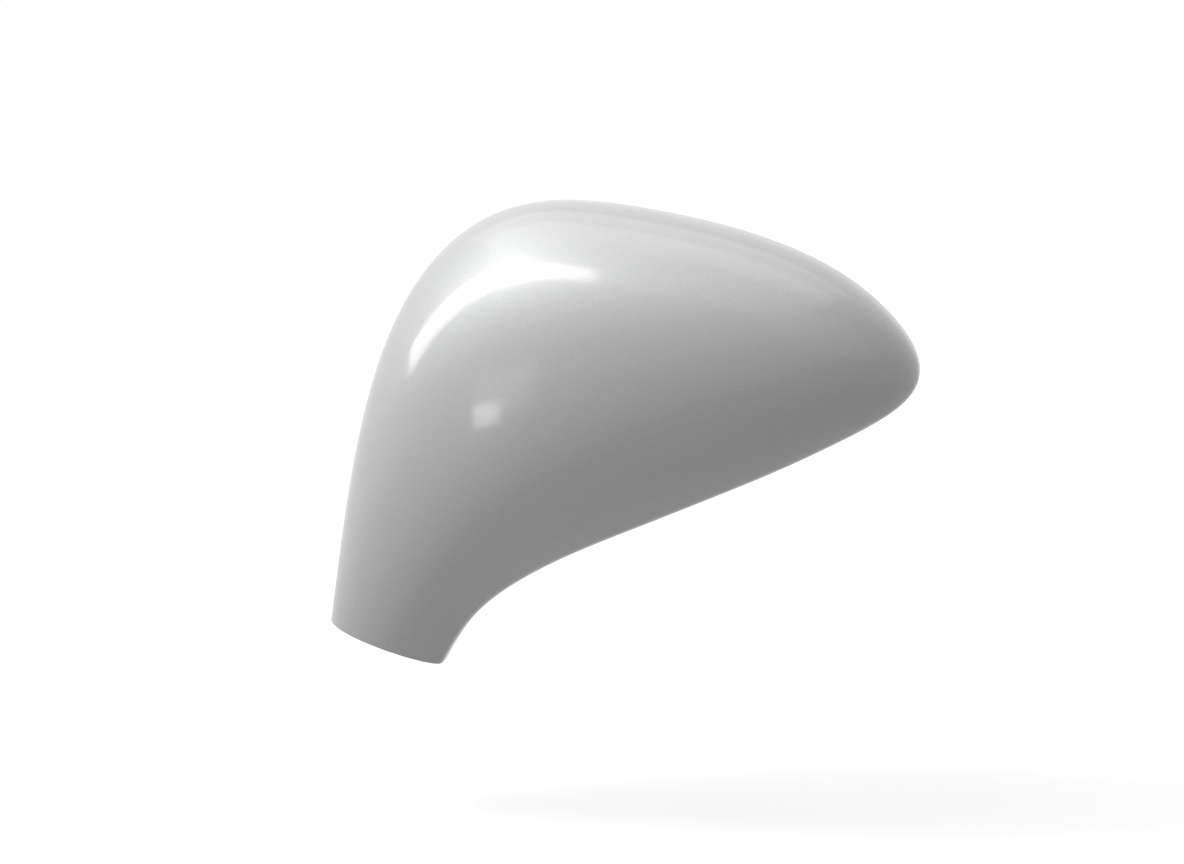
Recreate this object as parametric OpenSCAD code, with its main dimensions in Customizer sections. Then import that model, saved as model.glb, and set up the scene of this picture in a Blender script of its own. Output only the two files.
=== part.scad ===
// Wing mirror cover: the smooth outer cap of a car's door mirror with the neck that runs down
// to the door, moulded in one piece. Open at the back, with the hooks, pegs and ribs inside.
// X runs outboard, Z up, and the hollow back opens towards +Y. Millimetres.

/* [View] */
// piece shown

/* [Cover] */
// length from the neck's inboard edge to the outer tip
cover_length = 240; // [180:1:300]
// height from the neck's foot to the top
cover_height = 189; // [140:1:240]
// how far the skin bulges in front of its upper rim
cover_depth = 62; // [50:1:90]
// wall thickness
wall = 2.5; // [2:0.1:4]
// straight band behind the skin, along the whole rim
rim_band = 10; // [5:0.5:16]
// angle at which the lower skin is cut off
trim_angle = 152; // [120:1:165]
// how far the rounding of the lower edge reaches to each side
edge_reach = 3; // [1:0.5:5]
// fullness of the underside
underside = 0.1; // [0:0.01:0.2]

/* [Rim step] */
// depth of the step in the rim, from its back edge
step_depth = 3; // [1:0.5:5]
// thickness left at the step
step_wall = 1.5; // [1:0.1:2]

/* [Locating pegs] */
// peg diameter
peg_d = 6; // [4:0.1:8]
// peg length beyond its shoulder
peg_length = 11; // [6:0.5:16]
// chamfer of the peg's end
peg_chamfer = 1; // [0.5:0.1:1.5]
// diameter of the collar under the peg
collar_d = 10; // [8:0.5:12]
// height of the collar, whose top is the shoulder
collar_height = 2; // [1.5:0.1:3]
// height of the shoulder over the wall
peg_stand = 14; // [8:0.5:20]
// width across the cross ribs that carry a peg
peg_cross = 15; // [10:0.5:20]
// distance of the second peg outboard of the first
peg_pitch = 62; // [50:1:75]

/* [Hooks] */
// height of a hook over the wall
hook_height = 24; // [16:0.5:32]
// width of a hook
hook_width = 10; // [6:0.5:14]
// thickness of a hook's arm
hook_thick = 2.2; // [1.6:0.1:3]
// overhang of the barb
barb = 2.4; // [1.5:0.1:3.5]
// height of the barb
barb_height = 5; // [3:0.5:7]
// how far the gusset behind a hook reaches
hook_gusset = 6; // [4:0.5:8]

/* [Ribs] */
// thickness of ribs and gussets
rib = 1.6; // [1:0.1:2.4]
// height of the stiffening ribs
rib_height = 4; // [2:0.5:6]
// how far a gusset reaches in from the rim
gusset_reach = 8; // [5:0.5:12]

/* [Hidden] */
paint = [0.7, 0.71, 0.71];
eps = 0.01;
// step of t and of v at which directions are taken
small = [0.002, 0.01];

// the rim seen from the front, from the neck's inboard corner over the top to the tip and
// back under the cover to the neck's outboard corner: percent of the length and height
rim_points = [
    [0, 8.5], [3.5, 38], [8, 63], [15, 83], [25, 96], [37, 101], [52.5, 99],
    [70, 94.5], [84.5, 87.5], [94, 78.5], [99.5, 69.5],
    [100.5, 63], [96.5, 57.5], [89, 52.5], [78.5, 46], [67.5, 40], [55.5, 33.5], [43.5, 27],
    [33, 19.5], [25, 11], [20, 0]
];
// bulge of the cover from the neck's foot to the tip: percent of the depth
bulge_points = [30, 52, 72, 92.5, 99.5, 100, 95.5, 80, 56.5, 28.5];

// facets: sections along the cover, and steps over the arch and round the lower edge
rows = 40;
arch_steps = 22;
edge_steps = 3;
// share by which the sections crowd towards the tip
crowd = 0.12;
rim = [for (p = rim_points) [p[0] * cover_length, p[1] * cover_height] / 100];
half = (len(rim) - 1) / 2;
bulge = [for (p = bulge_points) p * cover_depth / 100];
stations = len(bulge);

// hooks: place along the cover (0 neck, 1 tip) and over the arch (0 upper rim, 1 lower edge)
hooks = [[0.31, 0.27], [0.57, 0.3], [0.79, 0.44], [0.73, 0.84], [0.45, 0.86], [0.1, 0.42]];
// stiffening ribs across the arch: place along the cover, where they start and where they end
ribs = [[0.2, 0.2, 0.84], [0.38, 0.3, 0.84], [0.6, 0.36, 0.8]];
// gussets inside the rim: place along the cover, and 0 for the upper or 1 for the lower rim
gussets = [[0.08, 0], [0.2, 0], [0.4, 0], [0.5, 0], [0.7, 0], [0.8, 0], [0.16, 1], [0.32, 1],
    [0.6, 1], [0.84, 1]];
// place of the first peg: percent of the length and height
peg_place = [55 * cover_length, 68 * cover_height] / 100;
// roughly where the two pegs stand on the skin, as [t, v]
peg_near = [[0.52, 1.6], [0.7, 1.6]];
// how far a peg's cross ribs fall to their outer ends
cross_fall = 3;
// chamfer at a hook's end, flat nose of its barb and share of its height that its gusset backs
hook_chamfer = 0.6;
barb_nose = 0.8;
backed = 0.55;
// gap between the rim's band and the foot of a gusset, and how far it ends under the rim step
gusset_gap = 1.5;
gusset_drop = 1;

// weights of the four neighbouring control points of a smooth curve
function weights(f) =
    [(1 - f) ^ 3, 3 * f ^ 3 - 6 * f ^ 2 + 4, -3 * f ^ 3 + 3 * f ^ 2 + 3 * f + 1, f ^ 3] / 6;

function rim_control(i) =
    i < 0 ? 2 * rim[0] - rim[1] :
    i > 2 * half ? 2 * rim[2 * half] - rim[2 * half - 1] : rim[i];

// the rim curve; s counts the control points
function rim_at(s) =
    let (i = max(0, min(floor(s), 2 * half - 1)), w = weights(s - i))
    w[0] * rim_control(i - 1) + w[1] * rim_control(i)
        + w[2] * rim_control(i + 1) + w[3] * rim_control(i + 2);

function upper(t) = rim_at(t * half);
function lower(t) = rim_at((2 - t) * half);

function bulge_control(i) =
    i < 0 ? 2 * bulge[0] - bulge[1] :
    i < stations ? bulge[i] :
    i == stations ? 0 : -bulge[stations - 1];

// bulge of the skin at t, from 0 at the neck's foot to 1 at the tip
function bulge_at(t) =
    let (i = max(0, min(floor(t * stations), stations - 1)), w = weights(t * stations - i))
    w[0] * bulge_control(i - 1) + w[1] * bulge_control(i)
        + w[2] * bulge_control(i + 1) + w[3] * bulge_control(i + 2);

function across(a) = (1 - cos(a)) / 2;
function rise(a) = sin(a) * (1 + underside * cos(a) ^ 2);

// skin over the section at t; f from 0 at the upper rim to 1 at the lower edge
function arch(t, f) =
    let (a = f * trim_angle, p = upper(t), q = lower(t),
        w = across(a) / across(trim_angle), m = p + (q - p) * w)
    [m[0], -bulge_at(t) * rise(a), m[1]];

// share of the arch that the rounding of the lower edge leaves
function arch_end(t) =
    let (reach = min(edge_reach, 0.2 * norm(upper(t) - lower(t))),
        slope = norm(arch(t, 1) - arch(t, 0.98)) / 0.02)
    1 - reach / slope;

// the whole outer skin at t; v runs 0 to 1 over the upper band, to 2 over the arch, to 3
// round the lower edge and to 4 over the lower band
function skin(t, v) =
    let (reach = min(edge_reach, 0.2 * norm(upper(t) - lower(t))))
    v <= 1 ? arch(t, 0) + [0, rim_band * (1 - v), 0] :
    v <= 2 ? arch(t, (v - 1) * arch_end(t)) :
    v <= 3 ? let (g = v - 2, c = arch(t, 1))
        (1 - g) ^ 2 * arch(t, arch_end(t)) + 2 * g * (1 - g) * c + g ^ 2 * (c + [0, reach, 0]) :
    arch(t, 1) + [0, reach + (rim_band - reach) * (v - 3), 0];

function unit(v) = v / norm(v);

// outward direction of the skin; at the neck's foot it stays in the plane of the cut
function outward(t, v) =
    let (k = max(0, floor(v - eps)),
        t0 = max(0, t - small[0]), t1 = min(1 - small[0], t + small[0]),
        v0 = max(k, v - small[1]), v1 = min(k + 1, v + small[1]),
        n = unit(cross(skin(t, v1) - skin(t, v0), skin(t1, v) - skin(t0, v))),
        g = lower(0) - upper(0), e = unit([g[1], 0, -g[0]]))
    t > 0 ? n : unit(n - (n * e) * e);

// the skin moved inwards by d
function inner(t, v, d) = skin(t, v) - d * outward(t, v);

// the tip, where all sections meet, moved inwards by d
function pole(d, y) =
    let (g = rim_at(half + eps) - rim_at(half - eps), p = rim_at(half), n = unit([g[1], 0, -g[0]]))
    [p[0], y, p[1]] + d * n;

// columns of the skin: upper band, arch, rounded edge, lower band
band_low = 1 - step_depth / (rim_band - edge_reach);
outer_v = concat([0, step_depth / rim_band, 1], [for (i = [1:arch_steps]) 1 + i / arch_steps],
    [for (i = [1:edge_steps]) 2 + i / edge_steps], [3 + band_low, 4]);

module shell() {
    tt = [for (i = [0:rows - 1]) let (g = i / rows) g * (1 + crowd - crowd * g)];
    last = len(outer_v) - 1;
    // the same columns inside, with those of the rim step twice
    inner_v = concat([0, outer_v[1]], [for (i = [1:last - 1]) outer_v[i]], [outer_v[last - 1], 4]);
    thin = [for (i = [0:len(inner_v) - 1]) i < 2 || i > len(inner_v) - 3 ? step_wall : wall];
    m = len(outer_v);
    k = len(inner_v);
    points = concat(
        [for (t = tt) for (v = outer_v) skin(t, v)],
        [for (t = tt) for (j = [0:k - 1]) inner(t, inner_v[j], thin[j])],
        [pole(0, rim_band), pole(0, rim_band - step_depth), pole(0, 0)],
        [pole(step_wall, rim_band), pole(step_wall, rim_band - step_depth),
            pole(wall, rim_band - step_depth), pole(wall, 0)]);
    base = rows * m;
    top = base + rows * k;
    function o(i, j) = i * m + j;
    function n(i, j) = base + i * k + j;
    // pole vertex that a column runs into
    function op(j) = top + (j == 0 || j == m - 1 ? 0 : j == 1 || j == m - 2 ? 1 : 2);
    function np(j) = top + 3 + (j == 0 || j == k - 1 ? 0 : j == 1 || j == k - 2 ? 1 :
        j == 2 || j == k - 3 ? 2 : 3);
    function quad(a, b, c, d) = [[a, c, b], [a, d, c]];
    function tri(a, b, c) = [[a, c, b]];
    faces = concat(
        [for (i = [0:rows - 2]) for (j = [0:m - 2])
            each quad(o(i, j), o(i, j + 1), o(i + 1, j + 1), o(i + 1, j))],
        [for (i = [0:rows - 2]) for (j = [0:k - 2])
            each quad(n(i, j + 1), n(i, j), n(i + 1, j), n(i + 1, j + 1))],
        [for (j = [0:m - 2]) each op(j) == op(j + 1)
            ? tri(o(rows - 1, j), o(rows - 1, j + 1), op(j))
            : quad(o(rows - 1, j), o(rows - 1, j + 1), op(j + 1), op(j))],
        [for (j = [0:k - 2]) each np(j) == np(j + 1)
            ? tri(n(rows - 1, j + 1), n(rows - 1, j), np(j))
            : quad(n(rows - 1, j + 1), n(rows - 1, j), np(j), np(j + 1))],
        // back edge of the rim
        [for (i = [0:rows - 2]) each quad(o(i, 0), o(i + 1, 0), n(i + 1, 0), n(i, 0))],
        quad(o(rows - 1, 0), op(0), np(0), n(rows - 1, 0)),
        [for (i = [0:rows - 2])
            each quad(o(i + 1, m - 1), o(i, m - 1), n(i, k - 1), n(i + 1, k - 1))],
        quad(op(0), o(rows - 1, m - 1), n(rows - 1, k - 1), np(0)),
        // cut face of the neck
        quad(o(0, 1), o(0, 0), n(0, 0), n(0, 1)),
        tri(o(0, 1), n(0, 1), n(0, 2)),
        [for (j = [1:m - 3]) each quad(o(0, j + 1), o(0, j), n(0, j + 1), n(0, j + 2))],
        tri(o(0, m - 2), n(0, k - 3), n(0, k - 2)),
        quad(o(0, m - 1), o(0, m - 2), n(0, k - 2), n(0, k - 1)));
    polyhedron(points, faces);
}

// middle of the wall
function middle(t, v) = inner(t, v, wall / 2);

// finds the place [t, v] of the wall's middle that lies behind x, z
function place(x, z, t, v, n = 7) =
    n == 0 ? [t, v] :
    let (q = middle(t, v), h = small[0],
        a = (skin(t + h, v) - skin(t - h, v)) / (2 * h),
        b = (skin(t, v + h) - skin(t, v - h)) / (2 * h),
        d = a[0] * b[2] - a[2] * b[0], ex = x - q[0], ez = z - q[2])
    place(x, z, max(0.01, min(0.97, t + (ex * b[2] - ez * b[0]) / d)),
        max(1.01, min(1.99, v + (a[0] * ez - a[2] * ex) / d)), n - 1);

// height of the wall's middle behind x, z, looked for near the place p
function middle_y(x, z, p) = let (q = place(x, z, p[0], p[1])) middle(q[0], q[1])[1];

// stands a flat shape (x along g, y along Y) on the point c, with its thickness across
module upright(c, g, thick)
    multmatrix([[g[0], 0, -g[1], c[0]], [0, 1, 0, 0], [g[1], 0, g[0], c[1]], [0, 0, 0, 1]])
        translate([0, 0, -thick / 2]) linear_extrude(height = thick) children();

// wall's middle along g through c, from a to b
function footing(c, g, a, b, p, n = 4) =
    [for (i = [0:n]) let (s = a + (b - a) * i / n)
        [s, middle_y(c[0] + g[0] * s, c[1] + g[1] * s, p)]];

// a peg on a collar, carried by two crossed ribs
module peg(c, p) {
    shoulder = middle_y(c[0], c[1], p) + wall / 2 + peg_stand;
    arm = peg_cross / 2;
    top = shoulder - collar_height / 2;
    for (g = [[1, 0], [0, 1]]) upright(c, g, rib)
        polygon(concat(footing(c, g, -arm, arm, p), [[arm, top - cross_fall],
            [collar_d / 2, top], [-collar_d / 2, top], [-arm, top - cross_fall]]));
    translate([c[0], shoulder - collar_height, c[1]]) rotate([-90, 0, 0])
        cylinder(d = collar_d, h = collar_height, $fn = 48);
    translate([c[0], top, c[1]]) rotate([-90, 0, 0])
        cylinder(d = peg_d, h = shoulder - top + peg_length - peg_chamfer, $fn = 48);
    translate([c[0], shoulder + peg_length - peg_chamfer, c[1]]) rotate([-90, 0, 0])
        cylinder(d1 = peg_d, d2 = peg_d - 2 * peg_chamfer, h = peg_chamfer, $fn = 48);
}

// a hook's arm with its barb towards the middle of the cover, and a gusset behind it
module hook(t, f) {
    q = middle(t, 1 + f);
    n = outward(t, 1 + f);
    g = [n[0], n[2]] / norm([n[0], n[2]]);
    c = [q[0], q[2]];
    p = [t, 1 + f];
    a = hook_thick / 2;
    top = q[1] + wall / 2 + hook_height;
    lean = norm([n[0], n[2]]) / abs(n[1]);
    upright(c, g, hook_width) polygon([
        [-a, q[1] - a * lean], [a, q[1] + a * lean], [a, top - hook_chamfer],
        [a - hook_chamfer, top], [-a, top], [-a - barb, top - barb_height + barb_nose],
        [-a - barb, top - barb_height], [-a, top - barb_height]]);
    feet = footing(c, g, 0, hook_gusset, p);
    upright(c, g, rib) polygon(concat(feet, [feet[len(feet) - 1] + [0, wall],
        [0, q[1] + wall / 2 + backed * hook_height]]));
}

// runs along the section at t: its direction from the upper to the lower rim
function run(t) = let (g = lower(t) - upper(t)) g / norm(g);

// point d under the skin in the plane of the section at t: [along the section, Y]
function under(t, v, d) =
    let (g = run(t), n = outward(t, v), e = [-g[1], 0, g[0]], m = n - (n * e) * e,
        q = skin(t, v) - d / (m * m) * m, a = upper(t))
    [(q[0] - a[0]) * g[0] + (q[2] - a[1]) * g[1], q[1]];

module stiffener(t, from, to, n = 12)
    upright(upper(t), run(t), rib) polygon(concat(
        [for (i = [0:n]) under(t, 1 + from + (to - from) * i / n, wall / 2)],
        [for (i = [n - 1:-1:1]) under(t, 1 + from + (to - from) * i / n, wall + rib_height)]));

// gusset in the corner between the rim's band and the skin
module gusset(t, side) {
    q = middle(t, side == 0 ? 1 : 3);
    n = outward(t, side == 0 ? 0.5 : 3.5);
    g = [-n[0], -n[2]];
    rim_edge = skin(t, side == 0 ? 0 : 4);
    top = rim_edge[1] - step_depth - gusset_drop;
    reach = gusset_reach;
    feet = footing([q[0], q[2]], g, gusset_gap, reach, [t, side == 0 ? 1.15 : 1.85]);
    upright([q[0], q[2]], g, rib) polygon(concat([[0, top], [0, q[1]]], feet,
        [[reach, feet[len(feet) - 1][1] + wall], [reach / 3, top]]));
}

module cover_body() {
    shell();
    for (r = ribs) stiffener(r[0], r[1], r[2]);
    for (g = gussets) gusset(g[0], g[1]);
    for (h = hooks) hook(h[0], h[1]);
    for (i = [0, 1]) peg(peg_place + [i * peg_pitch, 0], peg_near[i]);
}

// Y of the first peg's shoulder
peg_shoulder = middle_y(peg_place[0], peg_place[1], peg_near[0]) + wall / 2 + peg_stand;

module mirror_cover() color(paint)
    translate([-peg_place[0], -peg_shoulder, -peg_place[1]]) cover_body();

mirror_cover();
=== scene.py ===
"""Wing mirror cover: painted outer skin, moulded inside, pale floor, soft light and camera."""
import math

import bmesh
import bpy
import numpy as np
from mathutils import Matrix, Vector
from mathutils.kdtree import KDTree


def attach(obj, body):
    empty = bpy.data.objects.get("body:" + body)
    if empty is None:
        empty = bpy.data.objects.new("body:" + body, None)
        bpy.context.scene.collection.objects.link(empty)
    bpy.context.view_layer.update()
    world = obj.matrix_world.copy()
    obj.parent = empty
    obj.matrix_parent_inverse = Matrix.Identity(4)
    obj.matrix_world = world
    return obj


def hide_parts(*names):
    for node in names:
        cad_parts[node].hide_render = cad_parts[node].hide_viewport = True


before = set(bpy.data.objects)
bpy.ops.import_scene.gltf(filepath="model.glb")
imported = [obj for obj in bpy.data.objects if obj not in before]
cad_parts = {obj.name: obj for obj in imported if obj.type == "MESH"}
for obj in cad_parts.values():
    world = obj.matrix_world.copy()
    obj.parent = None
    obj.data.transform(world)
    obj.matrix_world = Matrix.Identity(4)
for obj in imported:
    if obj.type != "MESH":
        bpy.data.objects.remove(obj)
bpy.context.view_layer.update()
MM = 0.001

# The cover's driving sizes, in millimetres and in the cover's own axes
LENGTH = 240.0
HEIGHT = 189.0
DEPTH = 62.0
WALL = 2.5
# the straight band along the whole rim, and the step inside its back edge
BAND = 10.0
STEP_DEPTH = 3.0
STEP_WALL = 1.5
# the angle at which the lower skin is cut off, and by which share the skin is fuller at both rims
TRIM = math.radians(152)
FULLNESS = 0.1
# how far the lower edge is rounded, at most this share of the distance between the rims
EDGE_REACH = 3.0
EDGE_SHARE = 0.2
# the rim seen from the front: from the neck's inboard corner over the top to the tip, and back
# under the cover to the neck's outboard corner, in percent of the length and the height
RIM_POINTS = [
    [0, 8.5], [3.5, 38], [8, 63], [15, 83], [25, 96], [37, 101], [52.5, 99],
    [70, 94.5], [84.5, 87.5], [94, 78.5], [99.5, 69.5],
    [100.5, 63], [96.5, 57.5], [89, 52.5], [78.5, 46], [67.5, 40], [55.5, 33.5], [43.5, 27],
    [33, 19.5], [25, 11], [20, 0]]
# the bulge from the neck's foot to the tip, in percent of the depth
BULGE_POINTS = [30, 52, 72, 92.5, 99.5, 100, 95.5, 80, 56.5, 28.5]
RIM = np.array(RIM_POINTS) * [LENGTH / 100, HEIGHT / 100]
BULGE = np.array(BULGE_POINTS) * DEPTH / 100
HALF = (len(RIM) - 1) / 2

# Pegs: where the first one is, roughly where both stand on the skin, and their sizes
PEG_PLACE = np.array([55 * LENGTH, 68 * HEIGHT]) / 100
PEG_NEAR = [(0.52, 1.6), (0.7, 1.6)]
PEG_PITCH = 62.0
PEG_D = 6.0
PEG_LENGTH = 11.0
PEG_CHAMFER = 1.0
PEG_STAND = 14.0
PEG_CROSS = 15.0
CROSS_FALL = 3.0
COLLAR_D = 10.0
COLLAR_HEIGHT = 2.0

# Hooks: place along the cover (0 neck, 1 tip) and over the arch (0 upper rim, 1 lower edge)
HOOKS = [(0.31, 0.27), (0.57, 0.3), (0.79, 0.44), (0.73, 0.84), (0.45, 0.86), (0.1, 0.42)]
HOOK_HEIGHT = 24.0
HOOK_WIDTH = 10.0
HOOK_THICK = 2.2
HOOK_CHAMFER = 0.6
# the web behind a hook: how far it reaches, and the share of the hook's height that it backs
HOOK_WEB = 6.0
BACKED = 0.55
BARB = 2.4
BARB_HEIGHT = 5.0
BARB_NOSE = 0.8

# Stiffening ribs: place along the cover, where they start and where they end over the arch
RIBS = [(0.2, 0.2, 0.84), (0.38, 0.3, 0.84), (0.6, 0.36, 0.8)]
RIB = 1.6
RIB_HEIGHT = 4.0
# Gussets: place along the cover, and 0 for the upper or 1 for the lower rim
GUSSETS = [(0.08, 0), (0.2, 0), (0.4, 0), (0.5, 0), (0.7, 0), (0.8, 0), (0.16, 1), (0.32, 1),
           (0.6, 1), (0.84, 1)]
GUSSET_REACH = 8.0
GUSSET_GAP = 1.5
GUSSET_DROP = 1.0

# How finely the mesh is made: sections along the cover, steps over the arch and round the edge
ROWS, ARCH_STEPS = ((190, 136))
EDGE_STEPS = 8
# share by which the sections lie farther apart at the neck and closer at the tip
CROWD = 0.15
# the first sections, which ease the edge at the neck's foot, and the last ones, as shares of
# what is left to the tip
NECK_PLACES = [0, 0.0002, 0.0011, 0.0022]
TIP_SHARES = np.array([0.72, 0.5, 0.33, 0.2, 0.1, 0.04])
# columns on the band, as heights under the rim's edge
BAND_COLUMNS = (1.5, 3, 5)
# painted columns inside the rim, from its edge to the corner of the step
LIP_COLUMNS = 3
# eased edges: at the rim and the neck's foot, on ribs and webs, on hooks, and on round pieces
RIM_EASE = 0.35
RIB_EASE = 0.25
HOOK_EASE = 0.3
TURNED_EASE = 0.15
# a flat piece's edges are eased where its faces meet at more than this angle, in radians
SHARP = 0.6
# steps of t and v at which directions are taken
NUDGE_T = 0.0005
NUDGE_V = 0.003


# The skin
def spline(control, s):
    """Smooth curve along a list of control values, with one extra value at each end."""
    s = np.asarray(s, float)
    first = np.clip(np.floor(s).astype(int), 0, len(control) - 4)
    f = s - first
    weights = np.stack([(1 - f) ** 3, 3 * f ** 3 - 6 * f ** 2 + 4,
                        -3 * f ** 3 + 3 * f ** 2 + 3 * f + 1, f ** 3], -1) / 6
    return sum(weights[..., k, None] * control[first + k] for k in range(4))


RIM_CONTROL = np.vstack([2 * RIM[0] - RIM[1], RIM, 2 * RIM[-1] - RIM[-2]])
# the bulge goes on past its last value through 0 at the tip
BULGE_CONTROL = np.concatenate([[2 * BULGE[0] - BULGE[1]], BULGE, [0, -BULGE[-1]]])[:, None]


def upper(t):
    """The upper rim at t along the cover (0 neck, 1 tip), seen from the front."""
    return spline(RIM_CONTROL, np.asarray(t) * HALF)


def lower(t):
    """The lower rim at t along the cover, seen from the front."""
    return spline(RIM_CONTROL, (2 - np.asarray(t)) * HALF)


def bulge(t):
    return spline(BULGE_CONTROL, np.asarray(t) * len(BULGE))[..., 0]


def arch(t, f):
    """Skin at t along the cover and f over the arch (0 upper rim, 1 lower edge)."""
    angle = f * TRIM
    top, bottom = upper(t), lower(t)
    share = (1 - np.cos(angle)) / (1 - math.cos(TRIM))
    seen_at = top + (bottom - top) * share[..., None]
    y = -bulge(t) * np.sin(angle) * (1 + FULLNESS * np.cos(angle) ** 2)
    return np.stack([seen_at[..., 0], y, seen_at[..., 1]], -1)


def reach(t):
    """How far the rounding of the lower edge reaches; less where the cover is narrow."""
    return np.minimum(EDGE_REACH, EDGE_SHARE * np.linalg.norm(upper(t) - lower(t), axis=-1))


def arch_end(t):
    """Share of the arch that the rounding of the lower edge leaves."""
    one = np.ones_like(t)
    step = 0.02
    slope = np.linalg.norm(arch(t, one) - arch(t, (1 - step) * one), axis=-1) / step
    return 1 - reach(t) / np.maximum(slope, 1e-6)


def skin(t, v):
    """Whole outer skin: v to 1 over the upper band, 2 arch, 3 rounded edge, 4 lower band."""
    t, v = np.broadcast_arrays(np.asarray(t, float), np.asarray(v, float))
    one = np.ones_like(t)
    r = reach(t)
    end, corner = arch(t, arch_end(t)), arch(t, one)
    back = np.array([0.0, 1.0, 0.0])
    g = np.clip(v - 2, 0, 1)[..., None]
    pieces = [
        arch(t, 0 * one) + back * (BAND * (1 - np.clip(v, 0, 1)))[..., None],
        arch(t, np.clip(v - 1, 0, 1) * arch_end(t)),
        (1 - g) ** 2 * end + 2 * g * (1 - g) * corner + g ** 2 * (corner + back * r[..., None]),
        corner + back * (r + (BAND - r) * np.clip(v - 3, 0, 1))[..., None],
    ]
    piece = np.clip(np.ceil(v) - 1, 0, 3)[..., None]
    return np.select([piece == k for k in range(4)], pieces)


def unit(v):
    return v / np.maximum(np.linalg.norm(v, axis=-1, keepdims=True), 1e-12)


def outward(t, v):
    """Outward direction of the skin; at the neck's foot it stays in the plane of the cut."""
    t, v = np.broadcast_arrays(np.asarray(t, float), np.asarray(v, float))
    piece = np.maximum(0, np.floor(v - 0.0001))
    t0, t1 = np.maximum(0, t - NUDGE_T), np.minimum(1 - NUDGE_T, t + NUDGE_T)
    v0, v1 = np.maximum(piece + 1e-6, v - NUDGE_V), np.minimum(piece + 1, v + NUDGE_V)
    normal = unit(np.cross(skin(t, v1) - skin(t, v0), skin(t1, v) - skin(t0, v)))
    cut = lower(0.0) - upper(0.0)
    off_cut = unit(np.array([cut[1], 0, -cut[0]]))
    in_cut = unit(normal - (normal @ off_cut)[..., None] * off_cut)
    return np.where((t > 0)[..., None], normal, in_cut)


def inner(t, v, depth):
    """The skin moved inwards by depth."""
    return skin(t, v) - np.asarray(depth)[..., None] * outward(t, v)


# Places on the wall
def middle(t, v):
    return inner(t, v, WALL / 2)


def place(x, z, t, v, nudge=0.004, rounds=9):
    """The t, v at which the wall's middle lies behind x, z, looked for near t, v."""
    for _ in range(rounds):
        here = middle(t, v)
        by_t = (skin(t + nudge, v) - skin(t - nudge, v)) / (2 * nudge)
        by_v = (skin(t, v + nudge) - skin(t, v - nudge)) / (2 * nudge)
        area = by_t[0] * by_v[2] - by_t[2] * by_v[0]
        miss_x, miss_z = x - here[0], z - here[2]
        t = min(0.97, max(0.01, t + (miss_x * by_v[2] - miss_z * by_v[0]) / area))
        v = min(1.99, max(1.01, v + (by_t[0] * miss_z - by_t[2] * miss_x) / area))
    return t, v


def middle_y(x, z, near):
    return float(middle(*place(x, z, *near))[1])


ORIGIN = np.array([PEG_PLACE[0], middle_y(*PEG_PLACE, PEG_NEAR[0]) + WALL / 2 + PEG_STAND,
                   PEG_PLACE[1]])


def to_frame(p):
    """From the cover's own millimetres to the frame's metres: 0 is the first peg's shoulder."""
    return (np.asarray(p, float) - ORIGIN) * MM


# Meshes
PAINTED, MOULDED = 0, 1


def mesh_object(name, points, faces, kinds=None, weld=True):
    mesh = bpy.data.meshes.new(name)
    mesh.from_pydata([tuple(p) for p in to_frame(points)], [], faces)
    if kinds is not None:
        mesh.polygons.foreach_set("material_index", kinds)
    obj = bpy.data.objects.new(name, mesh)
    bpy.context.collection.objects.link(obj)
    bm = bmesh.new()
    bm.from_mesh(mesh)
    if weld:
        bmesh.ops.remove_doubles(bm, verts=bm.verts, dist=2e-6)
        bmesh.ops.dissolve_degenerate(bm, edges=bm.edges, dist=1e-7)
    bmesh.ops.recalc_face_normals(bm, faces=bm.faces)
    bm.to_mesh(mesh)
    bm.free()
    return obj


def shell_columns():
    """Columns round a section, outside from the upper to the lower rim and back inside.

    Each is a kind, a value and a depth under the skin. For the bands, u and l, the value is a
    height under the rim's edge; for the arch, a, and the lower edge, e, it is a share.
    """
    eased = [(RIM_EASE, 0), (0.1, 0.1), (0, RIM_EASE)]
    outside = [("u", height, depth) for height, depth in eased[::-1]]
    outside += [("u", height, 0) for height in BAND_COLUMNS]
    outside += [("a", i / ARCH_STEPS, 0) for i in range(ARCH_STEPS + 1)]
    outside += [("e", i / EDGE_STEPS, 0) for i in range(1, EDGE_STEPS + 1)]
    outside += [("l", height, 0) for height in BAND_COLUMNS[::-1]]
    outside += [("l", height, depth) for height, depth in eased]
    lip = [(0, STEP_WALL - RIM_EASE), (0.1, STEP_WALL - 0.1), (RIM_EASE, STEP_WALL),
           (STEP_DEPTH, STEP_WALL), (STEP_DEPTH, WALL - 0.3), (STEP_DEPTH + 0.1, WALL - 0.1),
           (STEP_DEPTH + 0.3, WALL), (BAND_COLUMNS[-1], WALL)]
    # half as many steps inside as outside
    edge_steps, arch_steps = EDGE_STEPS // 2, ARCH_STEPS // 2
    inside = [("l", height, depth) for height, depth in lip]
    inside += [("e", i / edge_steps, WALL) for i in range(edge_steps, 0, -1)]
    inside += [("a", i / arch_steps, WALL) for i in range(arch_steps, -1, -1)]
    inside += [("u", height, depth) for height, depth in lip[::-1]]
    return outside, inside


def column_v(kind, value, t):
    """The skin's v at a column, for each section t."""
    if kind == "u":
        return np.full(len(t), value / BAND)
    if kind == "l":
        return 3 + np.clip((BAND - value - reach(t)) / (BAND - reach(t)), 0, 1)
    return np.full(len(t), (1 if kind == "a" else 2) + value)


def column_order(kind, value):
    """A number that grows along a section, from the upper rim's edge to the lower one's."""
    if kind == "u":
        return 0.01 * (value - BAND)
    if kind == "a":
        return value
    if kind == "e":
        return 1 + 0.05 * value
    return 1.05 + 0.01 * (BAND - value)


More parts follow.
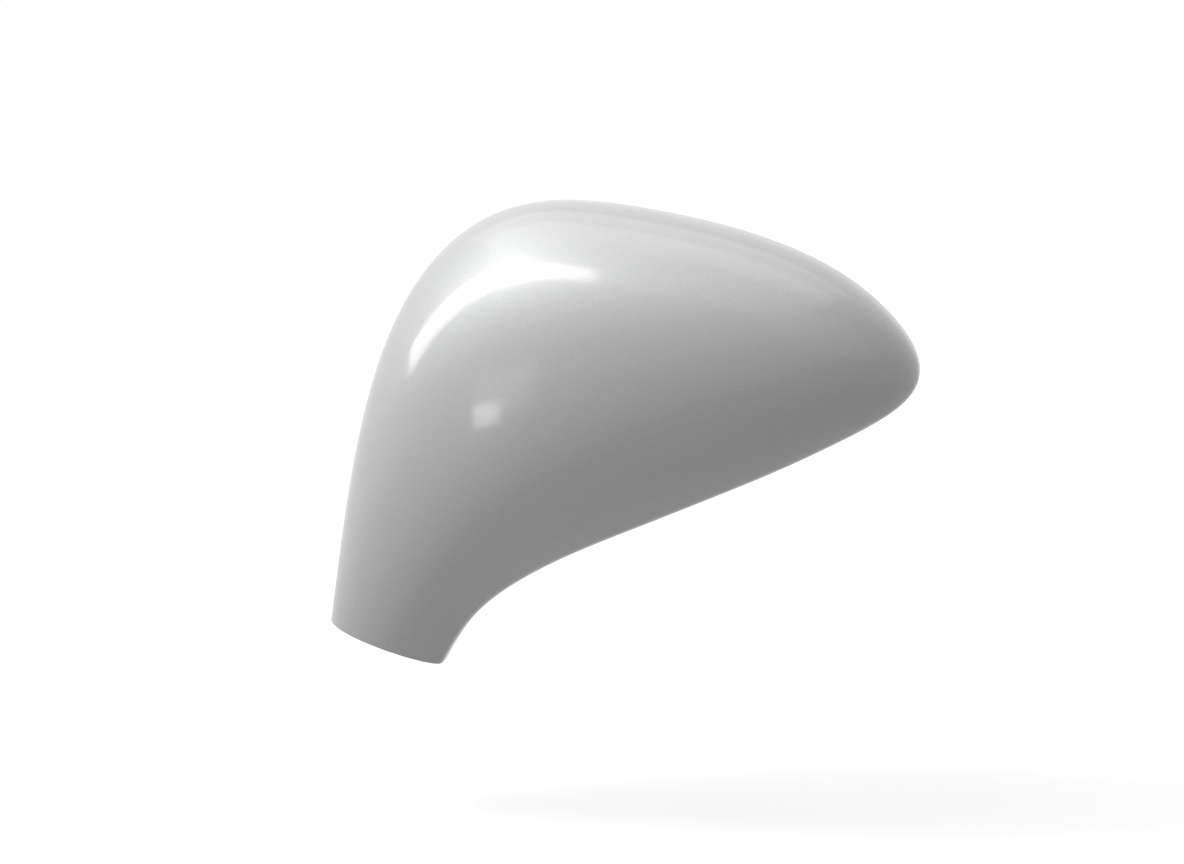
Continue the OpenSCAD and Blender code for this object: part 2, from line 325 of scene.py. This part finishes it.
def section_places():
    """The sections' t: at the neck's foot, an almost even run, and closer at the tip."""
    run = np.linspace(0, 1, ROWS + 1)[1:-1]
    t = np.concatenate([NECK_PLACES, run * (1 + CROWD - CROWD * run)])
    return np.concatenate([t, 1 - (1 - t[-1]) * TIP_SHARES])


def tip_points(columns):
    """Each column's last point, at the tip, where all sections meet."""
    tip = spline(RIM_CONTROL, HALF)
    along = unit(spline(RIM_CONTROL, HALF + 0.01) - spline(RIM_CONTROL, HALF - 0.01))
    inwards = np.array([along[1], 0, -along[0]])
    return [np.array([tip[0], BAND - value if kind in "ul" else 0.0, tip[1]]) + depth * inwards
            for kind, value, depth in columns]


def neck_faces(columns, n_out):
    """Cut face of the neck: outer and inner columns paired by their place along the section."""
    order = [column_order(kind, value) for kind, value, depth in columns]
    outer = list(range(n_out))
    back = list(range(len(columns) - 1, n_out - 1, -1))
    faces = []
    i = k = 0
    while i < len(outer) - 1 or k < len(back) - 1:
        inner_done = k == len(back) - 1
        if inner_done or (i < len(outer) - 1 and order[outer[i + 1]] <= order[back[k + 1]]):
            faces.append((outer[i + 1], outer[i], back[k]))
            i += 1
        else:
            faces.append((outer[i], back[k], back[k + 1]))
            k += 1
    return faces


def build_shell():
    """The skin, the wall's inner side, the rim between them and the neck's cut face."""
    outside, inside = shell_columns()
    columns = outside + inside
    n, n_out = len(columns), len(outside)
    t = section_places()
    ease = np.zeros(len(t))
    ease[:2] = RIM_EASE, 0.1
    grid = np.zeros((len(t), n, 3))
    for j, (kind, value, depth) in enumerate(columns):
        side = 1 if j < n_out else -1
        grid[:, j] = inner(t, column_v(kind, value, t), depth + side * ease)
    points = np.vstack([grid.reshape(-1, 3), tip_points(columns)])
    faces, kinds = [], []
    for i in range(len(t)):
        for j in range(n):
            k = (j + 1) % n
            faces.append((i * n + j, i * n + k, (i + 1) * n + k, (i + 1) * n + j))
            bare = n_out + LIP_COLUMNS <= j < n - 1 - LIP_COLUMNS
            kinds.append(MOULDED if bare else PAINTED)
    cut = neck_faces(columns, n_out)
    return mesh_object("cover_shell", points, faces + cut, kinds + [PAINTED] * len(cut))


def prism(buried, free, foot, along, thick, ease=RIB_EASE):
    """A flat piece stood on its foot: its outline (x along, y back) and its thickness.

    The outline's first stretch is buried in the wall, and the edges of the rest are eased.
    """
    profile = list(buried) + list(free)
    start = np.array([foot[0], 0.0, foot[1]])
    ahead = np.array([along[0], 0.0, along[1]])
    aside = np.array([-along[1], 0.0, along[0]])
    points = [start + ahead * x + [0, y, 0] + aside * (side * thick)
              for side in (-0.5, 0.5) for x, y in profile]
    m = len(profile)
    faces = [tuple(range(m)), tuple(range(2 * m - 1, m - 1, -1))]
    faces += [(i, i + m, (i + 1) % m + m, (i + 1) % m) for i in range(m)]
    obj = mesh_object("rib", points, faces, weld=False)
    bm = bmesh.new()
    bm.from_mesh(obj.data)
    sharp = [edge for edge in bm.edges if edge.calc_face_angle(0) > SHARP
             and any(vert.index % m >= len(buried) for vert in edge.verts)]
    bmesh.ops.bevel(bm, geom=sharp, offset=ease * MM, segments=2, profile=0.6, affect="EDGES",
                    clamp_overlap=True)
    bm.to_mesh(obj.data)
    bm.free()
    return obj


def turned(name, centre, rings, n=64):
    """A round piece along Y through its centre, from its rings (y, radius), closed at both ends."""
    points, faces = [], []
    turns = [2 * math.pi * k / n for k in range(n)]
    for y, r in rings:
        points += [(centre[0] + r * math.cos(a), y, centre[1] + r * math.sin(a)) for a in turns]
    for i in range(len(rings) - 1):
        faces += [(i * n + k, i * n + (k + 1) % n, (i + 1) * n + (k + 1) % n, (i + 1) * n + k)
                  for k in range(n)]
    faces += [tuple(range(n)), tuple(range(len(points) - 1, len(points) - 1 - n, -1))]
    return mesh_object(name, points, faces)


def footing(centre, along, start, end, near, n=8):
    """The wall's middle on a line through the centre, from start to end."""
    return [(s, middle_y(centre[0] + along[0] * s, centre[1] + along[1] * s, near))
            for s in np.linspace(start, end, n + 1)]


def peg_parts(centre, near):
    """Two crossed ribs, the collar on them and the peg."""
    shoulder = middle_y(*centre, near) + WALL / 2 + PEG_STAND
    arm, top = PEG_CROSS / 2, shoulder - COLLAR_HEIGHT / 2
    cap = [(arm, top - CROSS_FALL), (COLLAR_D / 2, top), (-COLLAR_D / 2, top),
           (-arm, top - CROSS_FALL)]
    cross = [prism(footing(centre, along, -arm, arm, near), cap, centre, along, RIB)
             for along in ((1, 0), (0, 1))]
    foot, r, ease = shoulder - COLLAR_HEIGHT, COLLAR_D / 2, TURNED_EASE
    collar = turned("collar", centre, [(foot, r - ease), (foot + ease, r), (shoulder - ease, r),
                                       (shoulder, r - ease)])
    end, r = shoulder + PEG_LENGTH, PEG_D / 2
    pin = turned("pin", centre, [(top, r), (end - PEG_CHAMFER, r),
                                 (end - ease, r - PEG_CHAMFER + ease),
                                 (end, r - PEG_CHAMFER - ease)])
    return cross + [collar, pin]


def hook_parts(t, f):
    """The arm with its barb, which points to the rim, and the web behind it."""
    here, normal = middle(t, 1 + f), outward(t, 1 + f)
    along, centre = unit(normal[[0, 2]]), here[[0, 2]]
    half, top = HOOK_THICK / 2, here[1] + WALL / 2 + HOOK_HEIGHT
    lean = math.hypot(normal[0], normal[2]) / abs(normal[1])
    foot = [(-half, here[1] - half * lean), (half, here[1] + half * lean)]
    arm = [(half, top - HOOK_CHAMFER), (half - HOOK_CHAMFER, top), (-half, top),
           (-half - BARB, top - BARB_HEIGHT + BARB_NOSE), (-half - BARB, top - BARB_HEIGHT),
           (-half, top - BARB_HEIGHT)]
    feet = footing(centre, along, 0, HOOK_WEB, (t, 1 + f))
    web = [(feet[-1][0], feet[-1][1] + WALL), (0, here[1] + WALL / 2 + BACKED * HOOK_HEIGHT)]
    return [prism(foot, arm, centre, along, HOOK_WIDTH, HOOK_EASE),
            prism(feet, web, centre, along, RIB)]


def stiffener_part(t, start, end, n=36):
    """A low rib that follows the wall across the arch, sloped at both ends."""
    rim = upper(t)
    along = unit(lower(t) - rim)
    aside = np.array([-along[1], 0, along[0]])

    def under(f, depth):
        normal = outward(t, 1 + f)
        level = normal - (normal @ aside) * aside
        p = skin(t, 1 + f) - depth / (level @ level) * level
        return ((p[0] - rim[0]) * along[0] + (p[2] - rim[1]) * along[1], p[1])

    shares = np.linspace(start, end, n + 1)
    slope = n // 12
    low = [under(f, WALL / 2) for f in shares]
    high = [under(f, WALL + RIB_HEIGHT) for f in shares[slope:-slope][::-1]]
    return prism(low, high, rim, along, RIB)


def gusset_part(t, side):
    """A gusset in the corner between the rim's band and the skin."""
    corner_v, band_v, edge_v, foot_v = (1, 0.5, 0, 1.15) if side == 0 else (3, 3.5, 4, 1.85)
    corner, normal = middle(t, corner_v), outward(t, band_v)
    along, centre = -normal[[0, 2]], corner[[0, 2]]
    top = skin(t, edge_v)[1] - STEP_DEPTH - GUSSET_DROP
    feet = footing(centre, along, GUSSET_GAP, GUSSET_REACH, (t, foot_v))
    edge = [(GUSSET_REACH, feet[-1][1] + WALL), (GUSSET_REACH / 3, top)]
    return prism([(0, top), (0, corner[1])] + feet, edge, centre, along, RIB)


def unite(base, parts):
    """One closed mesh from the shell and all that stands on it."""
    for part in parts:
        mod = base.modifiers.new("unite", "BOOLEAN")
        mod.operation, mod.object, mod.solver = "UNION", part, "MANIFOLD"
        graph = bpy.context.evaluated_depsgraph_get()
        mesh = bpy.data.meshes.new_from_object(base.evaluated_get(graph))
        if len(mesh.vertices) == len(base.data.vertices):
            raise RuntimeError("nothing was united: an open mesh")
        base.modifiers.clear()
        base.data = mesh
        bpy.data.objects.remove(part)
    return base


# Materials
def srgb(r, g, b):
    return tuple(c / 12.92 if c <= 0.04045 else ((c + 0.055) / 1.055) ** 2.4
                 for c in (r, g, b)) + (1.0,)


SILVER_DARK, SILVER_LIGHT = srgb(0.533, 0.535, 0.536), srgb(0.578, 0.58, 0.581)
PLASTIC_DARK, PLASTIC_LIGHT = srgb(0.335, 0.335, 0.34), srgb(0.37, 0.37, 0.375)
FLOOR_GREY = srgb(0.5, 0.5, 0.5)
WHITE = (1, 1, 1, 1)
# how far the paint mist reaches in from the rim, in metres, and the points' distance to the rim
MIST_REACH = 0.007
RIM_DISTANCE = "rim_distance"


class Shader:
    """A material's node tree and short hand for its nodes and links."""

    def __init__(self, name):
        self.mat = bpy.data.materials.new(name)
        self.mat.use_nodes = True
        self.tree = self.mat.node_tree
        self.bsdf = self.tree.nodes["Principled BSDF"]
        self.place = self.node("ShaderNodeTexCoord").outputs["Object"]

    def node(self, kind, inputs=None, **settings):
        node = self.tree.nodes.new(kind)
        for key, value in settings.items():
            setattr(node, key, value)
        for key, value in (inputs or {}).items():
            self.put(value, node.inputs[key])
        return node

    def put(self, value, socket):
        if isinstance(value, bpy.types.NodeSocket):
            self.tree.links.new(value, socket)
        else:
            socket.default_value = value

    def set(self, **inputs):
        for key, value in inputs.items():
            self.put(value, self.bsdf.inputs[key.replace("_", " ")])

    def noise(self, scale, detail=2.0):
        inputs = {"Vector": self.place, "Scale": scale, "Detail": detail}
        return self.node("ShaderNodeTexNoise", inputs).outputs["Fac"]

    def flakes(self, scale):
        inputs = {"Vector": self.place, "Scale": scale}
        return self.node("ShaderNodeTexVoronoi", inputs).outputs["Color"]

    def times(self, a, b):
        return self.node("ShaderNodeMath", {0: a, 1: b}, operation="MULTIPLY").outputs[0]

    def ramp(self, value, low, high, dark, light):
        """From the colour dark at low to the colour light at high."""
        node = self.node("ShaderNodeValToRGB", {"Fac": value})
        for stop, (at, colour) in zip(node.color_ramp.elements, ((low, dark), (high, light))):
            stop.position, stop.color = at, colour
        return node.outputs["Color"]

    def bump(self, height, strength, distance):
        inputs = {"Height": height, "Strength": strength, "Distance": distance}
        return self.node("ShaderNodeBump", inputs).outputs["Normal"]

    def mix(self, share, a, b):
        """From the colour a at share 0 to the colour b at share 1."""
        node = self.node("ShaderNodeMix", data_type="RGBA")
        for name, value in (("Factor", share), ("A", a), ("B", b)):
            self.put(value, next(i for i in node.inputs if i.name == name and i.enabled))
        return next(o for o in node.outputs if o.enabled)

    def spread(self, value, start, end, low, high):
        """From low where the value is at its start to high at its end."""
        inputs = {"Value": value, "From Min": start, "From Max": end, "To Min": low,
                  "To Max": high}
        return self.node("ShaderNodeMapRange", inputs).outputs["Result"]


def paint_material():
    """Silver paint: fine flakes, a few of them glossier, under a clear coat."""
    s = Shader("silver_paint")
    flakes = s.flakes(3200.0)
    s.set(Base_Color=s.ramp(flakes, 0.0, 1.0, SILVER_DARK, SILVER_LIGHT))
    s.set(Roughness=s.spread(flakes, 0.0, 0.2, 0.4, 0.63), Metallic=0.5)
    s.set(Coat_Weight=0.7, Coat_Roughness=0.14, Coat_IOR=1.5)
    # orange peel of the clear coat
    s.set(Coat_Normal=s.bump(s.noise(330.0, 1.0), 0.06, 0.0004))
    return s.mat


def moulded_material():
    """Bare grey plastic with a fine grain, and a mist of paint that fades in from the rim."""
    s = Shader("moulded_inside")
    from_rim = s.node("ShaderNodeAttribute", attribute_name=RIM_DISTANCE).outputs["Fac"]
    mist = s.times(s.spread(from_rim, 0.0, MIST_REACH, 0.95, 0.0), s.noise(900.0))
    plastic = s.ramp(s.noise(25.0, 4.0), 0.3, 0.7, PLASTIC_DARK, PLASTIC_LIGHT)
    s.set(Base_Color=s.mix(mist, plastic, SILVER_LIGHT))
    s.set(Roughness=s.spread(s.noise(60.0, 3.0), 0.0, 1.0, 0.45, 0.65))
    s.set(Normal=s.bump(s.noise(2500.0, 3.0), 0.25, 0.0001))
    return s.mat


def mark_rim_distance(obj, n=400):
    """Give every point its distance from the rim's edge, for the paint mist."""
    t = np.linspace(0, 1, n)
    edge = to_frame(np.vstack([skin(t, 0 * t), skin(t, 0 * t + 4)]))
    tree = KDTree(len(edge))
    for i, point in enumerate(edge):
        tree.insert(point, i)
    tree.balance()
    distance = obj.data.attributes.new(RIM_DISTANCE, "FLOAT", "POINT")
    distance.data.foreach_set("value", [tree.find(v.co)[2] for v in obj.data.vertices])


# The cover
def build_cover():
    shell = build_shell()
    parts = [part for i in (0, 1)
             for part in peg_parts(PEG_PLACE + [i * PEG_PITCH, 0], PEG_NEAR[i])]
    parts += [part for hook in HOOKS for part in hook_parts(*hook)]
    parts += [stiffener_part(*rib) for rib in RIBS]
    parts += [gusset_part(*gusset) for gusset in GUSSETS]
    for material in (paint_material(), moulded_material()):
        shell.data.materials.append(material)
    for part in parts:
        part.data.materials.append(shell.data.materials[MOULDED])
    cover = unite(shell, parts)
    cover.name = "cover_painted"
    mark_rim_distance(cover)
    cover.data.shade_smooth()
    cover.data.set_sharp_from_angle(angle=math.radians(32))
    return cover


# Camera and lamps
PHOTO_W, PHOTO_H = 1184, 864
SENSOR, LENS = 36.0, 75.0
AZIMUTH, ELEVATION, DISTANCE = math.radians(8), math.radians(8), 0.954
# the middle of the cover in its own millimetres, and where it lies in the photograph
TARGET = (128.1, -38.8, 101.8)
TARGET_PX = (625.5, 432.0)
# what the lamps point at
AIM = Vector((0, 0, -0.02))


def direction(azimuth, elevation):
    """From the object towards the front, turned by the azimuth and raised by the elevation."""
    return Vector((math.sin(azimuth) * math.cos(elevation),
                   -math.cos(azimuth) * math.cos(elevation), math.sin(elevation)))


def axes(back):
    """Right, up and back of a camera or a lamp that looks along the opposite of back."""
    right = Vector((0, 0, 1)).cross(back).normalized()
    return right, back.cross(right), back


def put_at(obj, point, back):
    """Place a camera or a lamp at the point; its back is turned away from what it looks at."""
    obj.matrix_world = Matrix.Translation(point) @ Matrix(axes(back)).transposed().to_4x4()
    bpy.context.collection.objects.link(obj)


def add_camera():
    """The camera at the photograph's angle, turned so that the target lies at its pixel."""
    back = direction(AZIMUTH, ELEVATION)
    right, up, _ = axes(back)
    focal_px = PHOTO_W / SENSOR * LENS
    off_x = (TARGET_PX[0] - PHOTO_W / 2) / focal_px
    off_y = (TARGET_PX[1] - PHOTO_H / 2) / focal_px
    turned_back = (back + right * off_x - up * off_y).normalized()
    camera = bpy.data.objects.new("camera", bpy.data.cameras.new("camera"))
    camera.data.lens, camera.data.sensor_width = LENS, SENSOR
    camera.data.clip_start, camera.data.clip_end = 0.01, 30
    put_at(camera, Vector(to_frame(TARGET)) + back * DISTANCE, turned_back)
    bpy.context.scene.camera = camera


def softbox(name, azimuth, elevation, distance, size, power, roll=0.0):
    """A rectangular lamp that faces the object, with its angles in degrees and sizes in metres.

    Roll turns its long side up from level.
    """
    back = direction(math.radians(azimuth), math.radians(elevation))
    data = bpy.data.lights.new(name, "AREA")
    data.shape, data.size, data.size_y, data.energy = "RECTANGLE", size[0], size[1], power
    lamp = bpy.data.objects.new(name, data)
    put_at(lamp, AIM + back * distance, back)
    lamp.matrix_world = lamp.matrix_world @ Matrix.Rotation(math.radians(roll), 4, "Z")


def add_lamps():
    softbox("key", -60, 52, 1.2, (0.24, 0.24), 10)
    # the long highlight on the shoulder
    softbox("strip", -70, 41, 1.2, (1.95, 0.34), 18, roll=51)
    softbox("overhead", 0, 88, 1.3, (2.2, 1.8), 13)
    softbox("front", 8, 22, 1.5, (2.4, 1.8), 3.4)
    softbox("right", 70, 30, 1.5, (1.0, 0.8), 1)
    softbox("back", 185, 62, 1.3, (1.8, 1.1), 4.2)
    # the small highlight below it and its soft surroundings
    softbox("low_front", -38.5, -14.5, 0.62, (0.12, 0.12), 0.34)
    softbox("low_soft", -33, -7, 0.8, (0.3, 0.3), 0.45)


# Background and floor
WORLD_GREY = 0.22
FLOOR_Z, FLOOR_HALF = -0.2, 8.0
# the floor's glow at two distances from the middle, in metres
GLOW_NEAR, GLOW_FAR = (0.3, 0.76), (1.6, 1.0)


def seen(tree):
    """1 for what the camera sees straight, in a gloss or through glass, else 0."""
    path = tree.nodes.new("ShaderNodeLightPath")
    total = path.outputs["Is Camera Ray"]
    for name in ("Is Glossy Ray", "Is Transmission Ray"):
        either = tree.nodes.new("ShaderNodeMath")
        either.operation = "MAXIMUM"
        tree.links.new(total, either.inputs[0])
        tree.links.new(path.outputs[name], either.inputs[1])
        total = either.outputs[0]
    return total


def add_world():
    """A weak grey light all round that looks white."""
    world = bpy.data.worlds.new("world")
    bpy.context.scene.world = world
    world.use_nodes = True
    tree = world.node_tree
    tree.nodes.clear()
    out = tree.nodes.new("ShaderNodeOutputWorld")
    mix = tree.nodes.new("ShaderNodeMixShader")
    tree.links.new(seen(tree), mix.inputs["Fac"])
    for socket, strength in ((1, WORLD_GREY), (2, 1.0)):
        light = tree.nodes.new("ShaderNodeBackground")
        light.inputs["Color"].default_value = WHITE
        light.inputs["Strength"].default_value = strength
        tree.links.new(light.outputs[0], mix.inputs[socket])
    tree.links.new(mix.outputs[0], out.inputs["Surface"])


def floor_material():
    """Pale floor that looks white where no shadow falls: it glows a little, more farther off."""
    s = Shader("floor")
    s.set(Base_Color=FLOOR_GREY, Roughness=0.9, Specular_IOR_Level=0.0, Emission_Color=WHITE)
    off = s.node("ShaderNodeVectorMath", {0: s.place}, operation="LENGTH").outputs["Value"]
    glow = s.spread(off, GLOW_NEAR[0], GLOW_FAR[0], GLOW_NEAR[1], GLOW_FAR[1])
    s.set(Emission_Strength=s.times(glow, seen(s.tree)))
    return s.mat


def add_floor():
    half = FLOOR_HALF
    corners = [(-half, -half, 0), (half, -half, 0), (half, half, 0), (-half, half, 0)]
    mesh = bpy.data.meshes.new("floor")
    mesh.from_pydata(corners, [], [(0, 1, 2, 3)])
    mesh.materials.append(floor_material())
    floor = bpy.data.objects.new("floor", mesh)
    floor.location.z = FLOOR_Z
    bpy.context.collection.objects.link(floor)


# The scene
cover = build_cover()
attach(cover, "root")
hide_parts("mirror_cover")
add_camera()
add_lamps()
add_world()
add_floor()
bpy.context.scene.view_settings.view_transform = "Standard"
